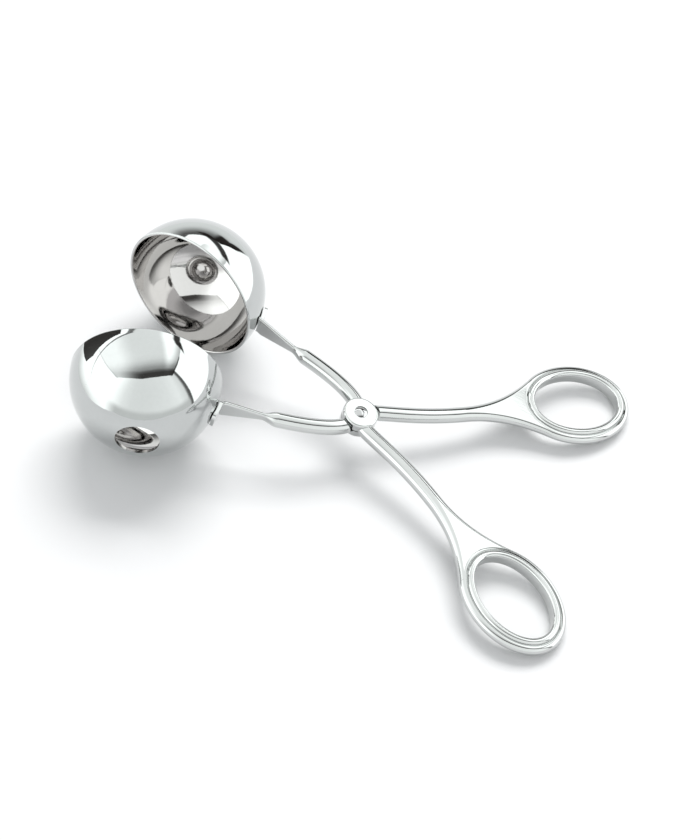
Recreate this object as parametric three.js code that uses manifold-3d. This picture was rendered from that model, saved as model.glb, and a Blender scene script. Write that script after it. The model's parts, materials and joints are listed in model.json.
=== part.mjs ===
// Meatball tongs: two crossed levers on one rivet, each with an oval finger ring at one end and a
// hemispherical cup at the other. Millimetres, +Z up. The tongs lie on the plane z = 0 as on a table,
// resting on both cups and both rings, part open, with the cups towards -X and the rings towards +X.
import * as THREE from "three";
import { mergeVertices } from "three/addons/utils/BufferGeometryUtils.js";
import Module from "manifold-3d";

const wasm = await Module();
wasm.setup();

const { degToRad, lerp, smoothstep } = THREE.MathUtils;
const QUARTER = Math.PI / 2;

// Cups
const CUP_BORE = 44.5; // inner diameter, for a ball of one and three quarter inches
const CUP_WALL = 1;
const CUP_SKIRT = 2; // straight wall between the hemisphere and the rim
const CUP_HOLE = 13.5; // round hole at the pole
const CUP_REACH = 67.1; // from the pivot to the cup's axis, along the shut tongs
const RIM_GAP = 0.4; // left between the two rims when the tongs are shut

// Finger rings
const RING_X = 71.7; // centre of the finger hole, along the shut tongs
const RING_Y = 22.2; // and out from their middle line
const RING_TURN = degToRad(19); // the hole's long axis, turned outwards
const FINGER_LENGTH = 29.2;
const FINGER_WIDTH = 20.8;
const BEAD_WIDTH = 2.3; // raised bead round the finger hole
const BEAD_HEIGHT = 5.2;
const GROOVE_DEPTH = 0.5; // between the bead and the flange
const FLANGE_WIDTH = 2.2; // flat rim outside the bead
const FLANGE_HEIGHT = 3.4;

// Web that flares from the handle's bar into the ring
const WEB_LENGTH = 25; // in front of the finger hole
const WEB_MEET = degToRad(46); // how far round the ring the web's edges run into it
const WEB_STEP = 0.04; // by which the web lies lower than the flange and inside its edge

// Round bars
const BAR_DIAMETER = 4.9;
const SECTION_ROUND = 0.48; // corner radius all along a lever, as a share of its section's smaller side
const PIVOT_SLANT = degToRad(66); // of the bars to the middle line, where they cross the pivot
const BOW_TURN = 6.9; // how far the cup's bar holds that slant
const BOW_SWEEP = 17; // and how far it holds the strap's slant
const HANDLE_TURN = 5; // the same for the handle's bar
const HANDLE_SWEEP = 22;

// Strap and foot that carry a cup
const STRAP_THICKNESS = 1.4;
const STRAP_HEIGHT = 7.4;
const STRAP_DROP = 0.7; // of the strap's middle at the cup, towards the boss's side of the lever
const STRAP_ROUND = 2.4; // corner at the cup, on the side away from the boss
const STRAP_LENGTH = 14.5;
const STRAP_SET = 6.1; // out from the middle line, where it meets the cup
const STRAP_SLANT = degToRad(3);
const NECK_HEIGHT = 2.9; // where the strap leaves the bar
const FOOT_LENGTH = 7.6; // round the cup's wall
const FOOT_HEIGHT = 5.8;
const FOOT_ROUND = 1.6;
const FOOT_THICKNESS = 1;
const WELD_GAP = 0.3; // between a foot and its cup

// Pivot
const OPEN_ANGLE = degToRad(30.4); // between the levers, from shut
const BOSS_DIAMETER = 11.2;
const BOSS_HEIGHT = 3; // from the plane where the levers lap
const BOSS_ROUND = 0.7;
const LAP_GAP = 0.3; // between the two bosses
const LAP_CLEARANCE = 0.9; // round a boss, in the other lever's recess
const RIVET_SHANK = 3;
const RIVET_HEAD = 4.1;
const RIVET_DOME = 0.6;
const RIVET_SINK = 0.3; // depth of the seat in each boss that a head lies in
const RIVET_PLAY = 0.15; // round the shank, and round and under its heads

// Fineness
const CORNER_STEPS = 3; // in each rounded corner of a bar
const LEVER_STEPS = 54; // along a lever
const ROUND_STEPS = 40; // round a ring, a cup or a boss
const ARC_STEPS = 11; // from a cup's rim to its hole

const cupRadius = CUP_BORE / 2 + CUP_WALL;
const cupCentre = new THREE.Vector2(-CUP_REACH, -RIM_GAP / 2 - CUP_SKIRT);
const footRadius = cupRadius + WELD_GAP;
const ringBand = BEAD_WIDTH + FLANGE_WIDTH;

// Shared operations

const solidOf = (geometry) => {
  geometry.deleteAttribute("normal");
  geometry.deleteAttribute("uv");
  const merged = mergeVertices(geometry);
  const vertProperties = merged.attributes.position.array;
  const triVerts = new Uint32Array(merged.index.array);
  return new wasm.Manifold(new wasm.Mesh({ numProp: 3, vertProperties, triVerts }));
};

const geometryOf = (solid) => {
  const { vertProperties, triVerts } = solid.getMesh();
  const geometry = new THREE.BufferGeometry();
  geometry.setAttribute("position", new THREE.BufferAttribute(vertProperties, 3));
  geometry.setIndex(new THREE.BufferAttribute(triVerts, 1));
  geometry.computeVertexNormals();
  return geometry;
};

const vector = (x, y) => new THREE.Vector2(x, y);

const turned = (point, angle) => point.clone().rotateAround(vector(0, 0), angle);

// Points on an arc about a centre, in the plane of a profile.
const arcOf = (x, y, radius, from, to, steps) =>
  new THREE.EllipseCurve(x, y, radius, radius, from, to, to < from).getPoints(steps);

// Corners of a rounded rectangle about (0, 0), anticlockwise from the right.
function roundedRectangle(width, height, radius) {
  const x = width / 2 - radius;
  const y = height / 2 - radius;
  return [
    ...arcOf(x, y, radius, 0, QUARTER, CORNER_STEPS),
    ...arcOf(-x, y, radius, QUARTER, 2 * QUARTER, CORNER_STEPS),
    ...arcOf(-x, -y, radius, 2 * QUARTER, 3 * QUARTER, CORNER_STEPS),
    ...arcOf(x, -y, radius, 3 * QUARTER, 4 * QUARTER, CORNER_STEPS),
  ];
}

// Piece turned about Z from a profile of (radius, height) points.
const latheOf = (profile) => new THREE.LatheGeometry(profile, ROUND_STEPS).rotateX(QUARTER);

// Upright prism between two heights.
function prismOf(outline, low, high) {
  const options = { depth: high - low, bevelEnabled: false };
  return new THREE.ExtrudeGeometry(new THREE.Shape(outline), options).translate(0, 0, low);
}

// Skin over a row of outlines, each listed anticlockwise as seen from the row's far end. The row either
// closes on itself or is capped at both ends.
function skinOf(outlines, closes) {
  const count = outlines[0].length;
  const index = [];
  const spans = closes ? outlines.length : outlines.length - 1;
  for (let i = 0; i < spans; i += 1) {
    const near = i * count;
    const far = ((i + 1) % outlines.length) * count;
    for (let j = 0; j < count; j += 1) {
      const k = (j + 1) % count;
      index.push(near + j, far + k, far + j, near + j, near + k, far + k);
    }
  }
  if (!closes) {
    const end = (outlines.length - 1) * count;
    for (let j = 1; j < count - 1; j += 1) {
      index.push(0, j + 1, j, end, end + j, end + j + 1);
    }
  }
  const geometry = new THREE.BufferGeometry().setFromPoints(outlines.flat());
  geometry.setIndex(index);
  return geometry;
}

// Cup: a pressed hemisphere with its mouth towards +Y, its rim on y = 0 and a hole at its pole.
function cupGeometry() {
  const inner = CUP_BORE / 2;
  const edge = CUP_WALL / 2;
  const outerStart = Math.asin(CUP_HOLE / 2 / cupRadius) - QUARTER;
  const innerEnd = Math.asin(CUP_HOLE / 2 / inner) - QUARTER;
  const outside = arcOf(0, -CUP_SKIRT, cupRadius, outerStart, 0, ARC_STEPS);
  const rim = arcOf(inner + edge, -edge, edge, 0, Math.PI, CORNER_STEPS);
  const inside = arcOf(0, -CUP_SKIRT, inner, 0, innerEnd, ARC_STEPS);
  return new THREE.LatheGeometry([...outside, ...rim, ...inside, outside[0]], ROUND_STEPS);
}

// Lever: one forging, drawn as the lower one in the shut tongs, with its cup's bowl towards -Y, its ring
// towards +Y and its boss below the lap plane. The upper lever is the same forging turned over.

// Point in the ring's own axes, along and across the finger hole.
const ringPoint = (along, across) => turned(vector(along, across), RING_TURN).add(vector(RING_X, RING_Y));

// Point of the finger hole's edge moved outwards, in the ring's own axes.
function holeEdge(angle, outwards) {
  const [a, b] = [FINGER_LENGTH / 2, FINGER_WIDTH / 2];
  const edge = vector(a * Math.cos(angle), b * Math.sin(angle));
  const normal = vector(b * Math.cos(angle), a * Math.sin(angle)).normalize();
  return edge.addScaledVector(normal, outwards);
}

const strapRise = Math.asin((STRAP_SET + cupCentre.y) / footRadius);
const strapEnd = vector(cupCentre.x + footRadius * Math.cos(strapRise) - FOOT_THICKNESS, -STRAP_SET);
const neck = strapEnd.clone().add(turned(vector(STRAP_LENGTH, 0), -STRAP_SLANT));
const webMeet = holeEdge(WEB_MEET, ringBand - WEB_STEP);
const webStart = ringPoint(-FINGER_LENGTH / 2 - WEB_LENGTH, 0);
const webEnd = ringPoint(-webMeet.x, 0);

// The centre line runs from inside the foot along the strap, round the bow, across the pivot in an S, and
// along the handle into the ring.
function leverLine() {
  const flat = (point) => new THREE.Vector3(point.x, point.y, 0);
  const along = (point, angle, length) => flat(point.clone().add(turned(vector(length, 0), angle)));
  const pivot = vector(0, 0);
  const bowStart = along(neck, -STRAP_SLANT, BOW_SWEEP);
  const bowEnd = along(pivot, PIVOT_SLANT, -BOW_TURN);
  const handleStart = along(pivot, PIVOT_SLANT, HANDLE_TURN);
  const handleEnd = along(webStart, RING_TURN, -HANDLE_SWEEP);
  const line = new THREE.CurvePath();
  line.add(new THREE.LineCurve3(flat(strapEnd), flat(neck)));
  line.add(new THREE.CubicBezierCurve3(flat(neck), bowStart, bowEnd, flat(pivot)));
  line.add(new THREE.CubicBezierCurve3(flat(pivot), handleStart, handleEnd, flat(webStart)));
  line.add(new THREE.LineCurve3(flat(webStart), flat(webEnd)));
  return line;
}

// Section of the lever at a place x along it: upright strap, round bar and web. The web's flare reaches
// the ring with the slope and the edge of the ring's own flange.
function leverSection(x) {
  if (x < neck.x) {
    const share = (neck.x - x) / (neck.x - strapEnd.x);
    const height = lerp(NECK_HEIGHT, STRAP_HEIGHT, share);
    const drop = STRAP_DROP * share;
    const inCorner = Math.max(0, STRAP_ROUND - (x - strapEnd.x - FOOT_THICKNESS));
    const cut = STRAP_ROUND - Math.sqrt(Math.max(0, STRAP_ROUND ** 2 - inCorner ** 2));
    return { width: STRAP_THICKNESS, low: -height / 2 - drop, high: height / 2 - drop - cut };
  }
  if (x < webStart.x) {
    const swell = smoothstep(x, neck.x, neck.x + BAR_DIAMETER);
    const width = lerp(STRAP_THICKNESS, BAR_DIAMETER, swell);
    const height = lerp(NECK_HEIGHT, BAR_DIAMETER, swell);
    return { width, low: -height / 2, high: height / 2 };
  }
  const share = (x - webStart.x) / (webEnd.x - webStart.x);
  const growth = webMeet.y - BAR_DIAMETER / 2;
  const slope = FINGER_WIDTH / FINGER_LENGTH / Math.tan(WEB_MEET);
  const power = (slope * webStart.distanceTo(webEnd)) / growth;
  const width = BAR_DIAMETER + 2 * growth * share ** power;
  const height = lerp(BAR_DIAMETER, FLANGE_HEIGHT - WEB_STEP, share);
  return { width, low: -height / 2, high: height / 2 };
}

function barSolid() {
  const line = leverLine();
  const outlines = [];
  for (let i = 0; i <= LEVER_STEPS; i += 1) {
    const place = line.getPointAt(i / LEVER_STEPS);
    const tangent = line.getTangentAt(i / LEVER_STEPS);
    const across = new THREE.Vector3(-tangent.y, tangent.x, 0);
    const { width, low, high } = leverSection(place.x);
    const round = SECTION_ROUND * Math.min(width, high - low);
    const corners = roundedRectangle(width, high - low, round);
    const level = (low + high) / 2;
    outlines.push(corners.map((p) => place.clone().addScaledVector(across, p.x).setZ(level + p.y)));
  }
  return solidOf(skinOf(outlines, false));
}

// Ring: carried round the finger hole, a bead with a full round top and bottom, a groove at its foot, and a
// flange with a half-round outer edge.
function ringSolid() {
  const bead = BEAD_WIDTH / 2;
  const flange = FLANGE_HEIGHT / 2;
  const rise = BEAD_HEIGHT / 2 - bead;
  const groove = vector(BEAD_WIDTH + GROOVE_DEPTH / 2, flange - GROOVE_DEPTH);
  const profile = [
    ...arcOf(ringBand - flange, 0, flange, -QUARTER, QUARTER, 2 * CORNER_STEPS),
    groove,
    ...arcOf(bead, rise, bead, 0, Math.PI, 2 * CORNER_STEPS),
    ...arcOf(bead, -rise, bead, Math.PI, 2 * Math.PI, 2 * CORNER_STEPS),
    vector(groove.x, -groove.y),
  ];
  const outlines = [];
  for (let i = 0; i < ROUND_STEPS; i += 1) {
    const angle = (-2 * Math.PI * i) / ROUND_STEPS;
    const section = profile.map((p) => {
      const edge = holeEdge(angle, p.x);
      const place = ringPoint(edge.x, edge.y);
      return new THREE.Vector3(place.x, place.y, p.y);
    });
    outlines.push(section);
  }
  return solidOf(skinOf(outlines, true));
}

// Room inside the middle of the flange, where the web stops.
function ringRoomSolid() {
  const outline = [];
  for (let i = 0; i < ROUND_STEPS; i += 1) {
    const edge = holeEdge((2 * Math.PI * i) / ROUND_STEPS, ringBand - FLANGE_WIDTH / 2);
    outline.push(ringPoint(edge.x, edge.y));
  }
  return solidOf(prismOf(outline, -BEAD_HEIGHT, BEAD_HEIGHT));
}

// Foot: a rounded patch of a shell that follows the cup's wall, from the strap round towards the pole.
function footSolid() {
  const spread = Math.asin(Math.hypot(FOOT_LENGTH, FOOT_HEIGHT) / 2 / footRadius);
  const outer = arcOf(0, 0, footRadius + FOOT_THICKNESS, -spread, spread, ARC_STEPS);
  const inner = arcOf(0, 0, footRadius, spread, -spread, ARC_STEPS);
  const shell = solidOf(latheOf([...outer, ...inner, outer[0]]));
  const patch = prismOf(roundedRectangle(FOOT_LENGTH, FOOT_HEIGHT, FOOT_ROUND), 0, 2 * cupRadius);
  const turn = strapRise + (FOOT_LENGTH - STRAP_THICKNESS) / 2 / footRadius;
  patch.rotateX(QUARTER).rotateZ(QUARTER - turn);
  return shell.intersect(solidOf(patch)).translate([cupCentre.x, cupCentre.y, 0]);
}

function bossSolid() {
  const radius = BOSS_DIAMETER / 2;
  const edge = BOSS_ROUND - BOSS_HEIGHT;
  const profile = [
    vector(0, -BOSS_HEIGHT),
    ...arcOf(radius - BOSS_ROUND, edge, BOSS_ROUND, -QUARTER, 0, CORNER_STEPS),
    vector(radius, -LAP_GAP / 2),
    vector(0, -LAP_GAP / 2),
  ];
  return solidOf(latheOf(profile));
}

function leverGeometry() {
  const plug = (radius, low, high) => {
    const cylinder = new THREE.CylinderGeometry(radius, radius, high - low, ROUND_STEPS);
    return solidOf(cylinder.rotateX(QUARTER).translate(0, 0, (low + high) / 2));
  };
  const recess = plug(BOSS_DIAMETER / 2 + LAP_CLEARANCE, -LAP_GAP / 2, 2 * BOSS_HEIGHT);
  const bore = plug(RIVET_SHANK / 2 + RIVET_PLAY, -2 * BOSS_HEIGHT, 2 * BOSS_HEIGHT);
  const headSeat = plug(RIVET_HEAD / 2 + RIVET_PLAY, -2 * BOSS_HEIGHT, RIVET_SINK - BOSS_HEIGHT);
  const cupSeat = new THREE.SphereGeometry(footRadius, 2 * ROUND_STEPS, ROUND_STEPS);
  const seat = solidOf(cupSeat.translate(cupCentre.x, cupCentre.y, 0));
  const bar = barSolid().subtract(seat).subtract(ringRoomSolid()).subtract(recess);
  const forging = bar.add(footSolid()).add(ringSolid()).add(bossSolid());
  return geometryOf(forging.subtract(bore).subtract(headSeat));
}

// Rivet: a plain shank with the same low dome at both ends.
function rivetGeometry() {
  const seat = BOSS_HEIGHT - RIVET_SINK + RIVET_PLAY;
  const shank = RIVET_SHANK / 2;
  const domeRadius = ((RIVET_HEAD / 2) ** 2 + RIVET_DOME ** 2) / (2 * RIVET_DOME);
  const spread = Math.asin(RIVET_HEAD / 2 / domeRadius);
  const centre = seat + RIVET_DOME - domeRadius;
  const profile = [
    ...arcOf(0, -centre, domeRadius, -QUARTER, spread - QUARTER, CORNER_STEPS),
    vector(shank, -seat),
    vector(shank, seat),
    ...arcOf(0, centre, domeRadius, QUARTER - spread, QUARTER, CORNER_STEPS),
  ];
  return latheOf(profile);
}

// Assembly

const polished = (color, roughness) => new THREE.MeshStandardMaterial({ color, roughness, metalness: 1 });

function pieceOf(name, geometry, material) {
  const mesh = new THREE.Mesh(geometry, material);
  mesh.name = name;
  return mesh;
}

const leverShape = leverGeometry();
const cupShape = cupGeometry();

// One half of the tongs: a lever and its cup, in the place of the lower lever of the shut tongs.
function halfOf(leverName, cupName) {
  const half = new THREE.Group();
  half.add(pieceOf(leverName, leverShape, polished(0xd3d5d8, 0.12)));
  const cup = pieceOf(cupName, cupShape, polished(0xdadcde, 0.08));
  cup.position.set(-CUP_REACH, -RIM_GAP / 2, 0);
  half.add(cup);
  return half;
}

const lowerHalf = halfOf("lower_lever", "front_cup");
lowerHalf.add(pieceOf("pivot_rivet", rivetGeometry(), polished(0xc6c8cb, 0.18)));
lowerHalf.rotation.z = OPEN_ANGLE / 2;

const upperHalf = halfOf("upper_lever", "rear_cup");
upperHalf.rotation.set(Math.PI, 0, OPEN_ANGLE / 2);

// Tilt at which the cups and the beads of the finger rings touch the table together.
function restTilt() {
  const cupX = turned(cupCentre, OPEN_ANGLE / 2).x;
  const ringX = turned(ringPoint(0, 0), OPEN_ANGLE / 2).x;
  const turn = RING_TURN + OPEN_ANGLE / 2;
  const beadLength = (FINGER_LENGTH + BEAD_WIDTH) / 2;
  const beadWidth = (FINGER_WIDTH + BEAD_WIDTH) / 2;
  const beadX = ringX + Math.hypot(beadLength * Math.cos(turn), beadWidth * Math.sin(turn));
  const span = beadX - cupX;
  const drop = BEAD_HEIGHT / 2;
  return Math.asin(cupRadius / Math.hypot(span, drop)) - Math.atan2(drop, span);
}

const tongs = new THREE.Group();
tongs.add(lowerHalf, upperHalf);
tongs.rotation.y = restTilt();
const box = new THREE.Box3().setFromObject(tongs, true);
const middle = box.getCenter(new THREE.Vector3());
tongs.position.set(-middle.x, -middle.y, -box.min.z);

const part = new THREE.Group();
part.add(tongs);

export default part;
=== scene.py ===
import json
import math
import bpy
import bmesh
from mathutils import Matrix, Vector


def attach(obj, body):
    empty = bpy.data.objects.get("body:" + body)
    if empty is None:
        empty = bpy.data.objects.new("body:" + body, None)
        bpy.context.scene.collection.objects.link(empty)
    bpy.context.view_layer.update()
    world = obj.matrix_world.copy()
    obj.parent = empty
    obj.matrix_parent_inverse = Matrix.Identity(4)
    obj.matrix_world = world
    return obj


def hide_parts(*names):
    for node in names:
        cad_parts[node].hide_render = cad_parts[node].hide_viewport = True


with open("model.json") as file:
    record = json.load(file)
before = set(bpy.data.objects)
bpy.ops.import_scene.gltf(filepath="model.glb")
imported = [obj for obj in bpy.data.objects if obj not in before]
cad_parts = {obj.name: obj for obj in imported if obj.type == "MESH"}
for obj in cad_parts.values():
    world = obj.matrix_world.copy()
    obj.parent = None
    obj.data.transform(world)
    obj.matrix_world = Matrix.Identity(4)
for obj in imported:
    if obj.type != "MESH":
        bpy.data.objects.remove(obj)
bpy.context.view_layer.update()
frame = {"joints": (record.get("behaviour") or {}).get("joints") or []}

# Levers: two steel forgings of one shape, crossed on the rivet. Each has a strap with a foot welded to its
# cup, a bowed bar, a half-lapped boss, a handle bar and an oval finger ring with a raised bead.
# Sizes are millimetres, for the lower lever of the shut tongs with the pivot at the origin.
CUP_BORE, CUP_WALL, CUP_SKIRT, CUP_REACH, RIM_GAP = 44.5, 1, 2, 67.1, 0.4
RING_X, RING_Y, RING_TURN = 71.7, 22.2, math.radians(19)
FINGER_LENGTH, FINGER_WIDTH = 29.2, 20.8
BEAD_WIDTH, BEAD_HEIGHT, GROOVE_DEPTH = 2.3, 5.2, 0.5
FLANGE_WIDTH, FLANGE_HEIGHT = 2.2, 3.4
WEB_LENGTH, WEB_MEET, WEB_STEP = 25, math.radians(46), 0.04
BAR_DIAMETER, SECTION_ROUND = 4.9, 0.49
PIVOT_SLANT, BOW_TURN, BOW_SWEEP = math.radians(66), 6.9, 17
HANDLE_TURN, HANDLE_SWEEP = 5, 22
STRAP_THICKNESS, STRAP_HEIGHT, STRAP_DROP, STRAP_ROUND = 1.4, 7.4, 0.7, 2.4
STRAP_LENGTH, STRAP_SET, STRAP_SLANT, NECK_HEIGHT = 14.5, 6.1, math.radians(3), 2.9
FOOT_LENGTH, FOOT_HEIGHT, FOOT_ROUND, FOOT_THICKNESS, WELD_GAP = 7.6, 5.8, 1.6, 1, 0.3
BOSS_DIAMETER, BOSS_HEIGHT, BOSS_ROUND = 11.2, 3, 0.7
LAP_GAP, LAP_CLEARANCE = 0.3, 0.9
RIVET_SHANK, RIVET_HEAD, RIVET_DOME, RIVET_SINK, RIVET_PLAY = 3, 4.1, 0.6, 0.3, 0.15
QUARTER = math.pi / 2
LEVER_STEPS, CORNER_STEPS, ROUND_STEPS = 420, 8, 192
SAME_POINT, TOO_SMALL = 1e-4, 0.002
LEVER_CREASE, ROUND_CREASE = math.radians(24), math.radians(40)
SMUDGE_SCALE, RIPPLE_SCALE, LINE_DEPTH, BOWL_EDGE = 90.0, 55.0, 0.004, 0.0002

cup_radius = CUP_BORE / 2 + CUP_WALL
foot_radius = cup_radius + WELD_GAP
ring_band = BEAD_WIDTH + FLANGE_WIDTH
cup_middle = Vector((-CUP_REACH, -RIM_GAP / 2 - CUP_SKIRT))


class Wire:
    """A node's output. Sums on it add Math nodes to its tree."""

    def __init__(self, socket):
        self.socket, self.tree = socket, socket.id_data

    @classmethod
    def make(cls, tree, kind, inputs=(), out=0, stops=(), **settings):
        node = tree.nodes.new(kind)
        for name, value in settings.items():
            setattr(node, name, value)
        for number, (place, shade) in enumerate(stops):
            elements = node.color_ramp.elements
            stop = elements[number] if number < 2 else elements.new(place)
            stop.position, stop.color = place, (shade, shade, shade, 1)
        for name, value in dict(inputs).items():
            if isinstance(value, Wire):
                tree.links.new(value.socket, node.inputs[name])
            else:
                node.inputs[name].default_value = value
        return cls(node.outputs[out])

    def other(self, name):
        return Wire(self.socket.node.outputs[name])

    def math(self, operation, *others, **settings):
        values = dict(enumerate([self, *others]))
        return Wire.make(self.tree, "ShaderNodeMath", values, operation=operation, **settings)

    def __add__(self, other):
        return self.math("ADD", other)

    def __sub__(self, other):
        return self.math("SUBTRACT", other)

    def __rsub__(self, other):
        return Wire.make(self.tree, "ShaderNodeMath", {0: other, 1: self}, operation="SUBTRACT")

    def __mul__(self, other):
        return self.math("MULTIPLY", other)

    def __truediv__(self, other):
        return self.math("DIVIDE", other)

    def __pow__(self, other):
        return self.math("POWER", other)

    __radd__ = __add__
    __rmul__ = __mul__

    def share(self, low, high):
        """From 0 at low to 1 at high."""
        return ((self - low) / (high - low)).math("ADD", 0, use_clamp=True)

    def ease(self, low, high):
        part = self.share(low, high)
        return part * part * (3 - 2 * part)

    def to(self, far, part):
        return self + (far - self) * part

    def xyz(self):
        parts = Wire.make(self.tree, "ShaderNodeSeparateXYZ", {0: self})
        return parts, parts.other("Y"), parts.other("Z")


def vector_of(tree, x, y, z):
    return Wire.make(tree, "ShaderNodeCombineXYZ", {0: x, 1: y, 2: z})


def shape_tree(name, sizes):
    """A geometry tree with an input for its line or profile, its material and each size."""
    tree = bpy.data.node_groups.new(name, "GeometryNodeTree")
    kinds = {"Line": "NodeSocketGeometry", "Finish": "NodeSocketMaterial"}
    for size in sizes:
        kinds[size] = "NodeSocketInt" if size.endswith("steps") else "NodeSocketFloat"
    for label, kind in kinds.items():
        tree.interface.new_socket(label, in_out="INPUT", socket_type=kind)
    tree.interface.new_socket("Shape", in_out="OUTPUT", socket_type="NodeSocketGeometry")
    entry = tree.nodes.new("NodeGroupInput")
    return tree, {label: Wire(entry.outputs[label]) for label in kinds}


def noted(geometry, name, vector):
    """Keeps a vector on each point of a curve, for the mesh that is swept from it."""
    inputs = {"Geometry": geometry, "Name": name, "Value": vector}
    return Wire.make(geometry.tree, "GeometryNodeStoreNamedAttribute", inputs, data_type="FLOAT_VECTOR")


def recalled(tree, name):
    kind = "GeometryNodeInputNamedAttribute"
    return Wire.make(tree, kind, {"Name": name}, data_type="FLOAT_VECTOR").xyz()


def swept(path, profile, place, finish):
    """Sweeps a profile along a path, sets each point's place, and ends the tree."""
    tree = path.tree
    inputs = {"Curve": path, "Profile Curve": profile, "Fill Caps": True}
    skin = Wire.make(tree, "GeometryNodeCurveToMesh", inputs)
    skin = Wire.make(tree, "GeometryNodeSetPosition", {"Geometry": skin, "Position": place})
    skin = Wire.make(tree, "GeometryNodeMergeByDistance", {"Geometry": skin, "Distance": SAME_POINT})
    skin = Wire.make(tree, "GeometryNodeSetShadeSmooth", {"Geometry": skin})
    skin = Wire.make(tree, "GeometryNodeRealizeInstances", {"Geometry": skin})
    skin = Wire.make(tree, "GeometryNodeSetMaterial", {"Geometry": skin, "Material": finish})
    tree.links.new(skin.socket, tree.nodes.new("NodeGroupOutput").inputs["Shape"])


def bar_tree():
    """The lever from the foot to the ring: a rounded section that changes along the centre line."""
    sizes = ["Strap end", "Neck", "Web start", "Web end", "Strap thickness", "Strap height", "Strap drop"]
    sizes += ["Strap round", "Neck height", "Foot thickness", "Bar diameter", "Section round"]
    sizes += ["Web width", "Web height", "Web power", "Lever steps", "Corner steps"]
    tree, size = shape_tree("swept_bar", sizes)
    inputs = {"Curve": size["Line"], "Count": size["Lever steps"]}
    path = Wire.make(tree, "GeometryNodeResampleCurve", inputs, mode="COUNT")
    path = noted(path, "place", Wire.make(tree, "GeometryNodeInputPosition"))
    path = noted(path, "along", Wire.make(tree, "GeometryNodeInputTangent"))

    # Section: four corners, each a quarter circle.
    inputs = {"Resolution": 4 * (size["Corner steps"] + 1), "Radius": 1.0}
    profile = Wire.make(tree, "GeometryNodeCurvePrimitiveCircle", inputs, mode="RADIUS")
    index = Wire.make(tree, "GeometryNodeInputIndex")
    quarter = (index / (size["Corner steps"] + 1)).math("FLOOR")
    step = index - quarter * (size["Corner steps"] + 1)
    angle = (quarter + step / size["Corner steps"]) * QUARTER
    middle = (quarter + 0.5) * QUARTER
    corner = vector_of(tree, middle.math("COSINE").math("SIGN"), middle.math("SINE").math("SIGN"), 0.0)
    profile = noted(profile, "corner", corner)
    profile = noted(profile, "edge", vector_of(tree, angle.math("COSINE"), angle.math("SINE"), 0.0))

    x, y, _ = recalled(tree, "place")
    along_x, along_y, _ = recalled(tree, "along")
    corner_x, corner_y, _ = recalled(tree, "corner")
    edge_x, edge_y, _ = recalled(tree, "edge")
    in_strap = x.math("LESS_THAN", size["Neck"])
    in_web = x.math("GREATER_THAN", size["Web start"])
    in_bar = 1 - in_strap - in_web

    strap_share = x.share(size["Neck"], size["Strap end"])
    strap_height = size["Neck height"].to(size["Strap height"], strap_share)
    strap_round = size["Strap round"]
    into_corner = (strap_round + size["Strap end"] + size["Foot thickness"] - x).math("MAXIMUM", 0)
    left_over = (strap_round * strap_round - into_corner * into_corner).math("MAXIMUM", 0)
    cut = (strap_round - left_over.math("SQRT")) * in_strap
    drop = size["Strap drop"] * strap_share * in_strap

    swell = x.ease(size["Neck"], size["Neck"] + size["Bar diameter"])
    bar_width = size["Strap thickness"].to(size["Bar diameter"], swell)
    bar_height = size["Neck height"].to(size["Bar diameter"], swell)

    web_share = x.share(size["Web start"], size["Web end"])
    web_width = size["Bar diameter"].to(size["Web width"], web_share ** size["Web power"])
    web_height = size["Bar diameter"].to(size["Web height"], web_share)

    width = in_strap * size["Strap thickness"] + in_bar * bar_width + in_web * web_width
    height = in_strap * (strap_height - cut) + in_bar * bar_height + in_web * web_height
    rounding = size["Section round"] * width.math("MINIMUM", height)
    out = corner_x * (width / 2 - rounding) + edge_x * rounding
    up = corner_y * (height / 2 - rounding) + edge_y * rounding - drop - cut / 2
    swept(path, profile, vector_of(tree, x - along_y * out, y + along_x * out, up), size["Finish"])
    return tree


def ring_tree():
    """A profile of (outwards, up) points carried round the oval finger hole."""
    tree, size = shape_tree("swept_ring", ["Finger length", "Finger width", "Round steps"])
    inputs = {"Resolution": size["Round steps"], "Radius": 1.0}
    path = Wire.make(tree, "GeometryNodeCurvePrimitiveCircle", inputs, mode="RADIUS")
    path = noted(path, "round", Wire.make(tree, "GeometryNodeInputPosition"))
    profile = noted(size["Line"], "profile", Wire.make(tree, "GeometryNodeInputPosition"))
    cosine, sine, _ = recalled(tree, "round")
    out, up, _ = recalled(tree, "profile")
    half_length, half_width = size["Finger length"] / 2, size["Finger width"] / 2
    normal_x, normal_y = half_width * cosine, half_length * sine
    size_of = (normal_x * normal_x + normal_y * normal_y).math("SQRT")
    x = half_length * cosine + out * normal_x / size_of
    y = half_width * sine + out * normal_y / size_of
    swept(path, profile, vector_of(tree, x, y, up), size["Finish"])
    return tree


def turned_tree():
    """A profile of (radius, height) points turned about the Z axis."""
    tree, size = shape_tree("turned_piece", ["Round steps"])
    inputs = {"Resolution": size["Round steps"], "Radius": 1.0}
    path = Wire.make(tree, "GeometryNodeCurvePrimitiveCircle", inputs, mode="RADIUS")
    path = noted(path, "round", Wire.make(tree, "GeometryNodeInputPosition"))
    profile = noted(size["Line"], "profile", Wire.make(tree, "GeometryNodeInputPosition"))
    cosine, sine, _ = recalled(tree, "round")
    radius, height, _ = recalled(tree, "profile")
    swept(path, profile, vector_of(tree, cosine * radius, sine * radius, height), size["Finish"])
    return tree


def drawn(points, closed):
    """A curve object through points."""
    curve = bpy.data.curves.new("line", "CURVE")
    curve.dimensions = "3D"
    spline = curve.splines.new("POLY")
    spline.points.add(len(points) - 1)
    for point, place in zip(spline.points, points):
        point.co = (place[0], place[1], 0, 1)
    spline.use_cyclic_u = closed
    line = bpy.data.objects.new("line", curve)
    bpy.context.scene.collection.objects.link(line)
    return line


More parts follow.
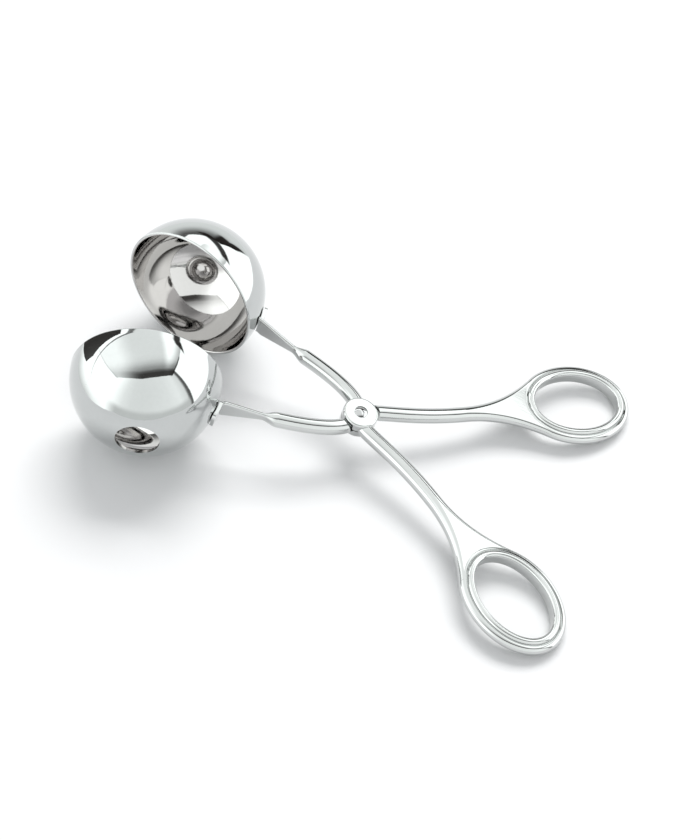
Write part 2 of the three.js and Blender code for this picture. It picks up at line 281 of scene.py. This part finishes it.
def plain(source):
    """The evaluated shape of an object as a plain mesh with its faces outwards and its slivers dissolved.
    The object is removed."""
    bpy.context.view_layer.update()
    mesh = bpy.data.meshes.new_from_object(source.evaluated_get(bpy.context.evaluated_depsgraph_get()))
    bpy.data.objects.remove(source)
    for name in ("place", "along", "corner", "edge", "round", "profile"):
        if name in mesh.attributes:
            mesh.attributes.remove(mesh.attributes[name])
    sculpt = bmesh.new()
    sculpt.from_mesh(mesh)
    bmesh.ops.dissolve_degenerate(sculpt, dist=TOO_SMALL, edges=sculpt.edges)
    bmesh.ops.recalc_face_normals(sculpt, faces=sculpt.faces)
    sculpt.to_mesh(mesh)
    sculpt.free()
    return mesh


def solid(mesh):
    body = bpy.data.objects.new("solid", mesh)
    bpy.context.scene.collection.objects.link(body)
    return body


def shaped(line, tree, finish, **sizes):
    """What a tree makes of a line. Underscores in the names of sizes stand for spaces."""
    modifier = line.modifiers.new("shape", "NODES")
    modifier.node_group = tree
    values = {name.replace("_", " "): value for name, value in sizes.items()}
    values["Finish"] = finish
    for item in tree.interface.items_tree:
        if item.in_out == "INPUT" and item.name in values:
            modifier[item.identifier] = values[item.name]
    return plain(line)


def cut_and_joined(body, steps):
    """A solid after a row of cuts and joins with other solids, which are removed."""
    for operation, tool in steps:
        modifier = body.modifiers.new(operation, "BOOLEAN")
        modifier.operation, modifier.object, modifier.solver = operation, tool, "MANIFOLD"
    mesh = plain(body)
    for _, tool in steps:
        bpy.data.objects.remove(tool)
    return mesh


def arc(x, y, radius, start, end, steps):
    angles = (start + (end - start) * step / steps for step in range(steps + 1))
    return [Vector((x + radius * math.cos(a), y + radius * math.sin(a))) for a in angles]


def turned(x, y, angle):
    return Matrix.Rotation(angle, 2) @ Vector((x, y))


def ring_point(along, across):
    return turned(along, across, RING_TURN) + Vector((RING_X, RING_Y))


def hole_edge(angle, outwards):
    """Point of the finger hole's edge moved outwards, in the ring's own axes."""
    a, b = FINGER_LENGTH / 2, FINGER_WIDTH / 2
    edge = Vector((a * math.cos(angle), b * math.sin(angle)))
    return edge + Vector((b * math.cos(angle), a * math.sin(angle))).normalized() * outwards


def prism(outline, low, high):
    """Upright prism over an anticlockwise outline."""
    sculpt = bmesh.new()
    bottom = [sculpt.verts.new((*point, low)) for point in outline]
    top = [sculpt.verts.new((*point, high)) for point in outline]
    sculpt.faces.new(bottom[::-1])
    sculpt.faces.new(top)
    for i in range(len(outline)):
        sculpt.faces.new((bottom[i - 1], bottom[i], top[i], top[i - 1]))
    mesh = bpy.data.meshes.new("prism")
    sculpt.to_mesh(mesh)
    sculpt.free()
    return mesh


def steel(name, colour, roughness, grain, wave, bowls=()):
    """Bright polished steel with faint polishing lines along its grain, small smudges and a slight wave.
    Each bowl is a centre, a radius, and the colour and roughness inside it. The colour inside a bowl
    is painted light: it is lighter and warmer than the same sheet outside."""
    material = bpy.data.materials.new(name)
    material.use_nodes = True
    tree = material.node_tree
    shader = tree.nodes["Principled BSDF"]
    shader.inputs["Metallic"].default_value = 1.0
    where = Wire.make(tree, "ShaderNodeTexCoord", out="Object")
    stretched = Wire.make(tree, "ShaderNodeMapping", {"Vector": where, "Scale": grain})
    lines = Wire.make(tree, "ShaderNodeTexNoise", {"Vector": stretched, "Scale": 1.0, "Detail": 3.0})
    smudge = Wire.make(tree, "ShaderNodeTexNoise", {"Vector": where, "Scale": SMUDGE_SCALE, "Detail": 4.0})
    ripple = Wire.make(tree, "ShaderNodeTexNoise", {"Vector": where, "Scale": RIPPLE_SCALE, "Detail": 1.0})
    bright = (*colour, 1.0)
    for centre, radius, bowl_painted_light, bowl_roughness in bowls:
        inputs = {0: where, 1: centre}
        away = Wire.make(tree, "ShaderNodeVectorMath", inputs, out="Value", operation="DISTANCE")
        inside = 1 - away.ease(radius, radius + BOWL_EDGE)
        roughness = roughness + inside * (bowl_roughness - roughness)
        inputs = {"Factor": inside, 6: bright, 7: (*bowl_painted_light, 1.0)}
        bright = Wire.make(tree, "ShaderNodeMix", inputs, out=2, data_type="RGBA")
    rough = roughness * (0.6 + 0.5 * lines + 0.5 * smudge.ease(0.45, 0.75))
    tree.links.new(rough.socket, shader.inputs["Roughness"])
    shade = (0.9 + 0.1 * smudge + 0.05 * lines).math("MINIMUM", 1.0)
    inputs = {"Factor": shade, 6: (0.0, 0.0, 0.0, 1.0), 7: bright}
    tint = Wire.make(tree, "ShaderNodeMix", inputs, out=2, data_type="RGBA")
    tree.links.new(tint.socket, shader.inputs["Base Color"])
    height = lines * LINE_DEPTH + ripple * wave
    inputs = {"Height": height, "Strength": 1.0, "Distance": 0.001}
    tree.links.new(Wire.make(tree, "ShaderNodeBump", inputs).socket, shader.inputs["Normal"])
    return material


lever_steel = steel("polished_forging", (0.6, 0.61, 0.605), 0.05, (260, 1700, 1700), 0.04)

strap_rise = math.asin((STRAP_SET + cup_middle.y) / foot_radius)
strap_end = Vector((cup_middle.x + foot_radius * math.cos(strap_rise) - FOOT_THICKNESS, -STRAP_SET))
neck = strap_end + turned(STRAP_LENGTH, 0, -STRAP_SLANT)
web_meet = hole_edge(WEB_MEET, ring_band - WEB_STEP)
web_start = ring_point(-FINGER_LENGTH / 2 - WEB_LENGTH, 0)
web_end = ring_point(-web_meet.x, 0)


def centre_line():
    """From the foot along the strap, round the bow, across the pivot in an S, and along the handle."""
    pivot = Vector((0, 0))
    knots = [strap_end, neck, pivot, web_start, web_end]
    before = [strap_end, neck.lerp(strap_end, 1 / 3), turned(-BOW_TURN, 0, PIVOT_SLANT)]
    before += [web_start + turned(-HANDLE_SWEEP, 0, RING_TURN), web_end.lerp(web_start, 1 / 3)]
    after = [strap_end.lerp(neck, 1 / 3), neck + turned(BOW_SWEEP, 0, -STRAP_SLANT)]
    after += [turned(HANDLE_TURN, 0, PIVOT_SLANT), web_start.lerp(web_end, 1 / 3), web_end]
    line = drawn(knots, False)
    line.data.splines.clear()
    spline = line.data.splines.new("BEZIER")
    spline.bezier_points.add(len(knots) - 1)
    for point, place, left, right in zip(spline.bezier_points, knots, before, after):
        point.handle_left_type = point.handle_right_type = "FREE"
        point.co, point.handle_left, point.handle_right = (p.to_3d() for p in (place, left, right))
    spline.resolution_u = 128
    return line


def bar_mesh():
    slope = FINGER_WIDTH / FINGER_LENGTH / math.tan(WEB_MEET)
    growth = web_meet.y - BAR_DIAMETER / 2
    return shaped(
        centre_line(), bar_tree(), lever_steel, Strap_end=strap_end.x, Neck=neck.x, Web_start=web_start.x,
        Web_end=web_end.x, Strap_thickness=STRAP_THICKNESS, Strap_height=STRAP_HEIGHT,
        Strap_drop=STRAP_DROP, Strap_round=STRAP_ROUND, Neck_height=NECK_HEIGHT,
        Foot_thickness=float(FOOT_THICKNESS),
        Bar_diameter=BAR_DIAMETER, Section_round=SECTION_ROUND, Web_width=2 * web_meet.y,
        Web_height=FLANGE_HEIGHT - WEB_STEP, Web_power=slope * (web_end - web_start).length / growth,
        Lever_steps=LEVER_STEPS, Corner_steps=CORNER_STEPS,
    )


def ring_mesh():
    bead, flange = BEAD_WIDTH / 2, FLANGE_HEIGHT / 2
    rise = BEAD_HEIGHT / 2 - bead
    groove_x, groove_y = BEAD_WIDTH + GROOVE_DEPTH / 2, flange - GROOVE_DEPTH
    profile = arc(ring_band - flange, 0, flange, -QUARTER, QUARTER, 3 * CORNER_STEPS)
    profile += [Vector((groove_x, groove_y))]
    profile += arc(bead, rise, bead, 0, math.pi, 2 * CORNER_STEPS)
    profile += arc(bead, -rise, bead, math.pi, 2 * math.pi, 2 * CORNER_STEPS)
    profile += [Vector((groove_x, -groove_y))]
    mesh = shaped(
        drawn(profile, True), ring_tree(), lever_steel, Finger_length=FINGER_LENGTH,
        Finger_width=FINGER_WIDTH, Round_steps=ROUND_STEPS,
    )
    mesh.transform(Matrix.Translation((RING_X, RING_Y, 0)) @ Matrix.Rotation(RING_TURN, 4, "Z"))
    return mesh


turned_shape = turned_tree()


def turned_mesh(profile, closed, finish):
    return shaped(drawn(profile, closed), turned_shape, finish, Round_steps=ROUND_STEPS)


def foot_mesh():
    spread = math.asin(math.hypot(FOOT_LENGTH, FOOT_HEIGHT) / 2 / foot_radius)
    profile = arc(0, 0, foot_radius + FOOT_THICKNESS, -spread, spread, 4 * CORNER_STEPS)
    profile += arc(0, 0, foot_radius, spread, -spread, 4 * CORNER_STEPS)
    shell = turned_mesh(profile, True, lever_steel)
    x, y = FOOT_LENGTH / 2 - FOOT_ROUND, FOOT_HEIGHT / 2 - FOOT_ROUND
    outline = []
    for quarter, (side, end) in enumerate(((1, 1), (-1, 1), (-1, -1), (1, -1))):
        start = quarter * QUARTER
        outline += arc(side * x, end * y, FOOT_ROUND, start, start + QUARTER, 2 * CORNER_STEPS)
    patch = prism(outline, 0, 2 * cup_radius)
    turn = strap_rise + (FOOT_LENGTH - STRAP_THICKNESS) / 2 / foot_radius
    patch.transform(Matrix.Rotation(QUARTER - turn, 4, "Z") @ Matrix.Rotation(QUARTER, 4, "X"))
    foot = cut_and_joined(solid(shell), [("INTERSECT", solid(patch))])
    foot.transform(Matrix.Translation(cup_middle.to_3d()))
    return foot


def lever_mesh():
    def plug(radius, low, high):
        return solid(prism(arc(0, 0, radius, 0, 2 * math.pi, ROUND_STEPS)[:-1], low, high))

    sculpt = bmesh.new()
    bmesh.ops.create_uvsphere(
        sculpt, u_segments=2 * ROUND_STEPS, v_segments=ROUND_STEPS, radius=foot_radius,
    )
    seat = bpy.data.meshes.new("seat")
    sculpt.to_mesh(seat)
    sculpt.free()
    seat.transform(Matrix.Translation(cup_middle.to_3d()))
    room = []
    for step in range(ROUND_STEPS):
        edge = hole_edge(2 * math.pi * step / ROUND_STEPS, ring_band - FLANGE_WIDTH / 2)
        room.append(ring_point(edge.x, edge.y))
    radius = BOSS_DIAMETER / 2
    profile = [Vector((0, -BOSS_HEIGHT))]
    profile += arc(radius - BOSS_ROUND, BOSS_ROUND - BOSS_HEIGHT, BOSS_ROUND, -QUARTER, 0, CORNER_STEPS)
    profile += [Vector((radius, -LAP_GAP / 2)), Vector((0, -LAP_GAP / 2))]
    tall = 2 * BOSS_HEIGHT
    steps = [
        ("DIFFERENCE", solid(seat)),
        ("DIFFERENCE", solid(prism(room, -BEAD_HEIGHT, BEAD_HEIGHT))),
        ("DIFFERENCE", plug(radius + LAP_CLEARANCE, -LAP_GAP / 2, tall)),
        ("UNION", solid(foot_mesh())),
        ("UNION", solid(ring_mesh())),
        ("UNION", solid(turned_mesh(profile, False, lever_steel))),
        ("DIFFERENCE", plug(RIVET_SHANK / 2 + RIVET_PLAY, -tall, tall)),
        ("DIFFERENCE", plug(RIVET_HEAD / 2 + RIVET_PLAY, -tall, RIVET_SINK - BOSS_HEIGHT)),
    ]
    return cut_and_joined(solid(bar_mesh()), steps)


def settled(mesh, sharpest):
    """Smooth shading that breaks at sharp edges and keeps flat faces flat."""
    mesh.shade_smooth()
    mesh.set_sharp_from_angle(angle=sharpest)
    body = solid(mesh)
    modifier = body.modifiers.new("flats", "WEIGHTED_NORMAL")
    modifier.keep_sharp = True
    bpy.context.view_layer.update()
    made = bpy.data.meshes.new_from_object(body.evaluated_get(bpy.context.evaluated_depsgraph_get()))
    bpy.data.objects.remove(body)
    return made


# The pivot's place, its tilt on the table and how far the tongs stand open come from the frame's one joint.
hinge = frame["joints"][0]
tilt = math.atan2(hinge["axis"][0], hinge["axis"][2])
half_open = math.radians(hinge["range_deg"][1]) / 2
table_place = Matrix.Translation(hinge["pos_m"]) @ Matrix.Rotation(tilt, 4, "Y") @ Matrix.Scale(0.001, 4)
lower_place = table_place @ Matrix.Rotation(half_open, 4, "Z")
upper_place = table_place @ Matrix.Rotation(math.pi, 4, "X") @ Matrix.Rotation(half_open, 4, "Z")


def placed(name, mesh, place, finish, node, body):
    piece = bpy.data.objects.new(name, mesh.copy())
    bpy.context.scene.collection.objects.link(piece)
    piece.data.name = name
    piece.data.transform(place)
    piece.data.materials.clear()
    piece.data.materials.append(finish)
    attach(piece, body)
    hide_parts(node)


lever_shape = settled(lever_mesh(), LEVER_CREASE)
placed(
    "forged_lower_lever", lever_shape, lower_place,
    lever_steel, "lower_lever", "lower_half",
)
placed(
    "forged_upper_lever", lever_shape, upper_place,
    lever_steel, "upper_lever", "upper_half",
)

# Cups: two pressings of thin steel sheet, each a hemisphere with a short straight skirt, a rounded rim and
# a round hole at its pole. They are polished inside and out and welded to the levers' feet.
CUP_HOLE = 13.5
bowl_radius = (cup_radius - CUP_WALL / 2) / 1000
bowl_centres = [place @ cup_middle.to_3d() for place in (lower_place, upper_place)]
# Painted light: the inside of each cup is coloured lighter and warmer than its outside. Its roughness is a
# little higher.
bowls = [(centre, bowl_radius, (0.62, 0.608, 0.6), 0.06) for centre in bowl_centres]
cup_steel = steel("polished_pressing", (0.55, 0.565, 0.562), 0.04, (900, 900, 900), 0.05, bowls)


def cup_mesh():
    inner, edge = CUP_BORE / 2, CUP_WALL / 2
    outer_start = math.asin(CUP_HOLE / 2 / cup_radius) - QUARTER
    inner_end = math.asin(CUP_HOLE / 2 / inner) - QUARTER
    profile = arc(0, -CUP_SKIRT, cup_radius, outer_start, 0, ROUND_STEPS // 2)
    profile += arc(inner + edge, -edge, edge, 0, math.pi, 2 * CORNER_STEPS)
    profile += arc(0, -CUP_SKIRT, inner, 0, inner_end, ROUND_STEPS // 2)
    mesh = turned_mesh(profile, True, cup_steel)
    mesh.transform(Matrix.Translation((-CUP_REACH, -RIM_GAP / 2, 0)) @ Matrix.Rotation(-QUARTER, 4, "X"))
    return mesh


cup_shape = settled(cup_mesh(), ROUND_CREASE)
placed("pressed_front_cup", cup_shape, lower_place, cup_steel, "front_cup", "lower_half")
placed("pressed_rear_cup", cup_shape, upper_place, cup_steel, "rear_cup", "upper_half")

# Rivet: one solid steel rivet through both bosses, alike at both ends. Its low domed heads lie in shallow
# seats, with a little play under them and round the shank.
rivet_steel = steel("rubbed_rivet", (0.54, 0.54, 0.545), 0.09, (1500, 1500, 1500), 0.03)


def rivet_mesh():
    seat = BOSS_HEIGHT - RIVET_SINK + RIVET_PLAY
    half_head = RIVET_HEAD / 2
    dome_radius = (half_head**2 + RIVET_DOME**2) / (2 * RIVET_DOME)
    spread = math.asin(half_head / dome_radius)
    centre = seat + RIVET_DOME - dome_radius
    shank = RIVET_SHANK / 2
    profile = arc(0, -centre, dome_radius, -QUARTER, spread - QUARTER, 2 * CORNER_STEPS)
    profile += [Vector((shank, -seat)), Vector((shank, seat))]
    profile += arc(0, centre, dome_radius, QUARTER - spread, QUARTER, 2 * CORNER_STEPS)
    return turned_mesh(profile, False, rivet_steel)


rivet_shape = settled(rivet_mesh(), ROUND_CREASE)
placed("pivot_rivet_set", rivet_shape, lower_place, rivet_steel, "pivot_rivet", "lower_half")

# Table: a thin white sheet just under the tongs, which keeps their soft shadow. The polished cups show its
# slanting left edge.
TABLE_CORNERS = [(-0.125, -0.2), (0.16, -0.2), (0.16, 0.3), (-0.22, 0.3)]
TABLE_LOW, TABLE_TOP = -0.0006, -0.0001


def paper(name, colour, gloss):
    material = bpy.data.materials.new(name)
    material.use_nodes = True
    shader = material.node_tree.nodes["Principled BSDF"]
    shader.inputs["Base Color"].default_value = (*colour, 1)
    shader.inputs["Roughness"].default_value = 0.9
    shader.inputs["Specular IOR Level"].default_value = gloss
    return material


def set_up(name, mesh, finish):
    """An object that stands round the tongs."""
    mesh.materials.append(finish)
    thing = bpy.data.objects.new(name, mesh)
    bpy.context.scene.collection.objects.link(thing)
    return thing


table_mesh = prism(TABLE_CORNERS, TABLE_LOW, TABLE_TOP)
table = set_up("table", table_mesh, paper("white_sheet", (0.97, 0.97, 0.97), 0.0))

# Light tent: white walls and a white roof with dark seams between them, which only polished metal shows.
# Turns and heights on it are degrees. Places on its roof are measured right and ahead, with the roof one
# unit overhead.
TENT_RADIUS = 3.0
TENT_BLACK, TENT_WHITE, BRIGHTEST = (0.012, 0.01, 0.009, 1.0), (0.97, 1.0, 0.99, 1.0), 2.0
FRONT_SHADE, LEFT_SHADE = 0.46, 0.42
SLOT_HEIGHT, BEND_TURN, BEND_SLOPE = 31, 12, 1.5
NEAR_BLACK, SEAM_BLACK, FAINT_SEAM = 0.97, 0.85, 0.3
LOWEST_ROOF = 0.02


def tent_cloth():
    material = bpy.data.materials.new("tent_cloth")
    material.use_nodes = True
    tree = material.node_tree
    tree.nodes.clear()
    x, y, z = Wire.make(tree, "ShaderNodeTexCoord", out="Object").xyz()
    turn = x.math("ARCTAN2", y) * (180 / math.pi)
    height = (z / TENT_RADIUS).math("ARCSINE") * (180 / math.pi)
    round_way = turn / 360 - (turn / 360).math("FLOOR")

    def ramp(by, *stops):
        return Wire.make(tree, "ShaderNodeValToRGB", {0: by}, stops=stops)

    # Walls, by the turn from straight behind towards the right: white at the sides, greyer in front.
    walls = ramp(
        round_way, (0.0, 1.0), (0.25, 1.0), (0.254, 0.08), (0.264, 0.08), (0.272, 0.62), (0.303, 0.735),
        (0.35, 0.665), (0.4, 0.645), (0.46, 0.625), (0.505, 0.64), (0.539, 0.715), (0.57, 0.9),
        (0.585, 1.0),
    )
    facing = ramp(round_way, (0.0, 1.0), (0.26, 1.0), (0.27, 0.0), (0.56, 0.0), (0.6, 1.0))
    walls = walls.to(FRONT_SHADE, (1 - facing) * (1 - height.ease(-3, 7)))

    # The left wall is greyer towards the table.
    leftmost = ramp(round_way, (0.6, 0.0), (0.68, 1.0), (0.8, 1.0), (0.85, 0.0))
    walls = walls.to(LEFT_SHADE, leftmost * (1 - height.ease(-26, -4)))

    # Backdrop: a sheet that darkens upwards to a black slot, which bends down on the right.
    slot = height - SLOT_HEIGHT + BEND_SLOPE * (turn - BEND_TURN).math("MAXIMUM", 0)
    backdrop = ramp(
        (slot + 26) / 40, (0.0, 0.545), (0.125, 0.49), (0.275, 0.336), (0.4, 0.187), (0.55, 0.07),
        (0.65, 0.07), (0.69, 1.0),
    )
    before_end = 1 - turn.ease(21, 24)
    walls = walls.to(backdrop, turn.ease(-55, -53) * before_end)
    bend = turn.ease(-3, 4) * before_end * slot.ease(-19, -15) * (1 - slot.ease(-1, 1))
    walls = walls * (1 - NEAR_BLACK * bend)

    # Roof: level, with straight edges. It is white at the back right and darkens to its front and right.
    level = z.math("MAXIMUM", LOWEST_ROOF * TENT_RADIUS)
    right, ahead = x / level, y / level

    def past(across, along, edge):
        """How far a place is past a straight edge."""
        return right * across + ahead * along - edge

    def line(distance, half_width):
        return 1 - distance.math("ABSOLUTE").ease(half_width / 2, half_width)

    front = past(0.534, -0.846, 0.68).math("MAXIMUM", past(0.316, -0.949, 0.735))
    side = past(0.983, 0.185, 0.9)
    left = past(-0.511, -0.86, 1.375)
    back = past(-0.334, 0.943, 0.866)
    outside = front.math("MAXIMUM", side).math("MAXIMUM", left).math("MAXIMUM", back)
    roof = 0.64 + 0.25 * (0 - right - 0.8 * ahead).ease(0.3, 1.1)
    roof = roof + 0.36 * (right + 0.6 * ahead).ease(0.4, 0.66)
    gloom = ramp(
        (front + 0.7) / 0.75, (0.0, 0.0), (0.18, 0.07), (0.33, 0.29), (0.48, 0.58), (0.56, 0.67),
        (0.63, 0.87), (0.72, 0.96),
    )
    roof = roof * (1 - gloom * (0.35 + 0.65 * right.ease(-0.9, 0.1))) * (1 - 0.55 * side.ease(-0.36, 0.0))
    light = walls.to(roof, 1 - outside.ease(-0.012, 0.012))

    # Seams at the roof's edges, and a strap that runs up from the slot.
    side_seam = SEAM_BLACK * line(side, 0.04) * (1 - ahead.ease(0.4, 0.6))
    left_seam = FAINT_SEAM * line(left, 0.05)
    back_seam = SEAM_BLACK * line(back, 0.06) * (1 - right.ease(-0.4, -0.15))
    seams = side_seam.math("MAXIMUM", left_seam) * (1 - front.ease(0.0, 0.04))
    seams = seams.math("MAXIMUM", back_seam)
    strap = line(past(0.707, 0.707, 1.13), 0.23) * ahead.ease(0.8, 0.88) * height.ease(22, 26)
    light = light * (1 - seams.math("MAXIMUM", NEAR_BLACK * strap))
    inputs = {"Factor": light, 6: TENT_BLACK, 7: TENT_WHITE}
    colour = Wire.make(tree, "ShaderNodeMix", inputs, out=2, data_type="RGBA")
    glow = Wire.make(tree, "ShaderNodeEmission", {"Color": colour, "Strength": BRIGHTEST})
    tree.links.new(glow.socket, tree.nodes.new("ShaderNodeOutputMaterial").inputs["Surface"])
    material.cycles.emission_sampling = "NONE"
    return material


sculpt = bmesh.new()
bmesh.ops.create_uvsphere(sculpt, u_segments=96, v_segments=48, radius=TENT_RADIUS)
tent_mesh = bpy.data.meshes.new("light_tent")
sculpt.to_mesh(tent_mesh)
sculpt.free()
tent_mesh.shade_smooth()
tent = set_up("light_tent", tent_mesh, tent_cloth())
tent.visible_camera = tent.visible_diffuse = tent.visible_shadow = False

# Black card: stands at the left, out of the picture, for polished metal to show. It is on edge and points
# towards the rear cup.
CARD_CORNERS = [(-0.56, -0.014), (-0.147, 0.024), (-0.147, 0.028), (-0.56, -0.01)]
CARD_HEIGHT = 0.11
card_mesh = prism(CARD_CORNERS, 0.0, CARD_HEIGHT)
card = set_up("black_card", card_mesh, paper("black_paper", (0.03, 0.026, 0.024), 0.5))
card.visible_camera = card.visible_diffuse = card.visible_shadow = False

# Light: one large soft lamp behind and above, and an even surround. The surround is white to the camera and
# in reflections. What it sheds on the table is weaker and a little cooler.
KEY_WIDTH, KEY_DEPTH, KEY_POWER, KEY_PLACE = 2.6, 1.6, 86, (-0.25, 2.15, 2.876)
FILL, FILL_COLOUR = 0.64, (0.965, 0.985, 1.0, 1.0)
key_lamp = bpy.data.lights.new("key_lamp", "AREA")
key_lamp.shape, key_lamp.energy = "RECTANGLE", KEY_POWER
key_lamp.size, key_lamp.size_y = KEY_WIDTH, KEY_DEPTH
key = bpy.data.objects.new("key_lamp", key_lamp)
key.location = KEY_PLACE
key.rotation_euler = (-key.location).to_track_quat("-Z", "Y").to_euler()
key.visible_glossy = key.visible_camera = False
bpy.context.scene.collection.objects.link(key)

world = bpy.data.worlds.new("surround")
world.use_nodes = True
bpy.context.scene.world = world
sky = world.node_tree
path = Wire.make(sky, "ShaderNodeLightPath", out="Is Camera Ray")
seen = path.math("MAXIMUM", path.other("Is Glossy Ray")).math("MAXIMUM", path.other("Is Transmission Ray"))
sky.links.new((FILL + seen * (1 - FILL)).socket, sky.nodes["Background"].inputs["Strength"])
inputs = {"Factor": seen, 6: FILL_COLOUR, 7: (1.0, 1.0, 1.0, 1.0)}
sky_colour = Wire.make(sky, "ShaderNodeMix", inputs, out=2, data_type="RGBA")
sky.links.new(sky_colour.socket, sky.nodes["Background"].inputs["Color"])

# Camera: looks down on the pivot from the front, a little to the right of the middle line. Its distances
# are counted in pixels of the picture, PIXEL metres each at the pivot.
PIXEL = 0.0003119
IMAGE_HEIGHT = 840
CAMERA_REACH, CAMERA_ASIDE, CAMERA_UP = 1837.0, -8.74, -2.71
CAMERA_TURN, CAMERA_ROLL = math.radians(9.095), math.radians(11.217)
CAMERA_ELEVATION = math.radians(51.767)
lens = bpy.data.cameras.new("camera")
lens.sensor_width = 36
lens.lens = lens.sensor_width * CAMERA_REACH / IMAGE_HEIGHT
lens.clip_start, lens.clip_end = 0.01, 20
camera = bpy.data.objects.new("camera", lens)
turn = Matrix.Rotation(CAMERA_TURN, 4, "Z") @ Matrix.Rotation(QUARTER - CAMERA_ELEVATION, 4, "X")
turn = turn @ Matrix.Rotation(CAMERA_ROLL, 4, "Z")
aside = Vector((CAMERA_ASIDE, CAMERA_UP, CAMERA_REACH)) * PIXEL
camera.matrix_world = Matrix.Translation(hinge["pos_m"]) @ turn @ Matrix.Translation(aside)
bpy.context.scene.collection.objects.link(camera)
bpy.context.scene.camera = camera
bpy.context.scene.view_settings.view_transform = "Standard"
